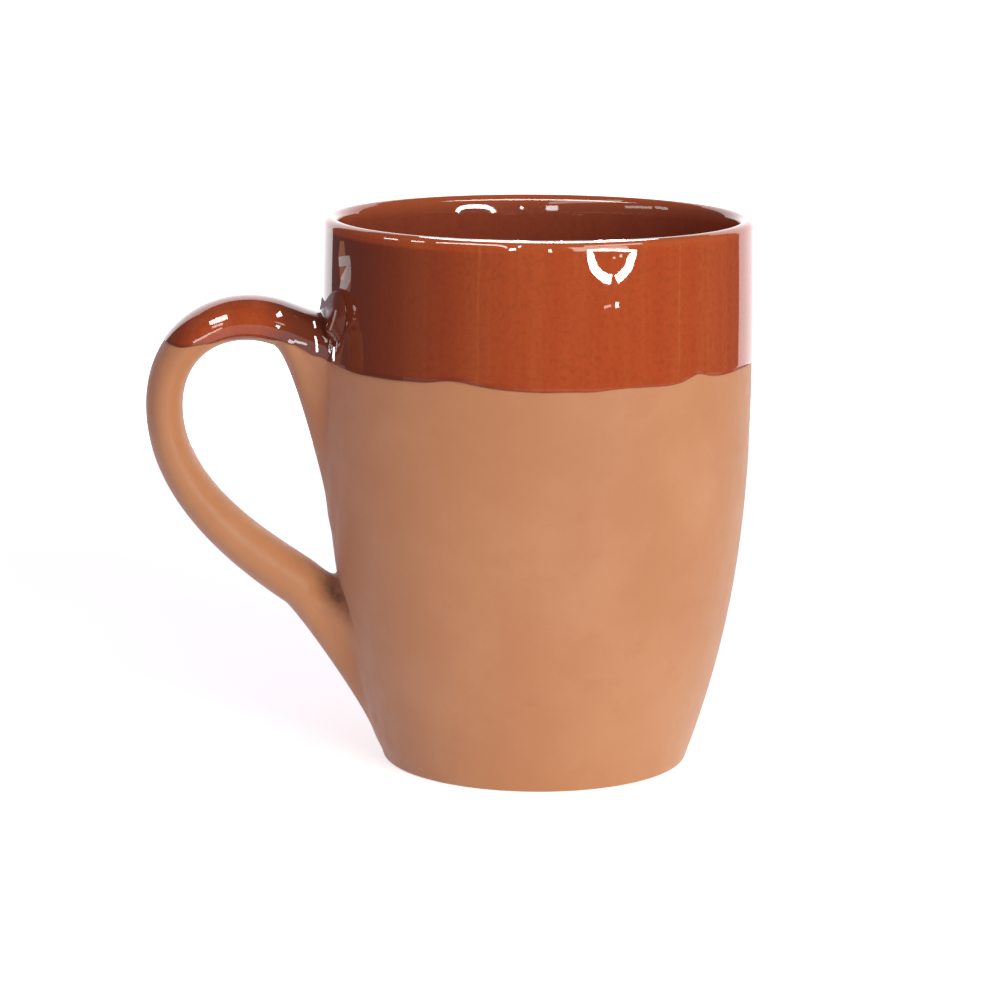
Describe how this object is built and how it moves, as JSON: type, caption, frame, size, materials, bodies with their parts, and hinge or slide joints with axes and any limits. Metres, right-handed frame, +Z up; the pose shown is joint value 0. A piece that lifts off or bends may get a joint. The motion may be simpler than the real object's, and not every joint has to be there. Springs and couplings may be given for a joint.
{
  "type": "mug",
  "caption": "Barrel-shaped terracotta mug with a looped strap handle, glazed inside and dipped in brown glaze round its upper part.",
  "frame": {"origin": "centre of the flat foot, where the cup's turning axis meets the surface it stands on", "axes": "+Z up along the turning axis, towards the mouth; -X towards the handle; +Y to the left of someone looking from the handle towards the cup"},
  "size_m": [0.1195, 0.085, 0.1083],
  "materials": {
    "clay": "unglazed fired terracotta, matte, fine grained",
    "slip": "fired clay slip, matte",
    "brown_glaze": "glossy transparent brown-red glaze over terracotta",
    "lining_glaze": "glossy brown-red glaze, as a lining"
  },
  "bodies": {
    "root": {"body": "clay", "handle": "clay", "upper_slip": "slip", "lower_slip": "slip", "collar": "brown_glaze", "lining_glaze": "lining_glaze", "outside_glaze": "brown_glaze", "handle_glaze": "brown_glaze"}
  },
  "joints": []
}
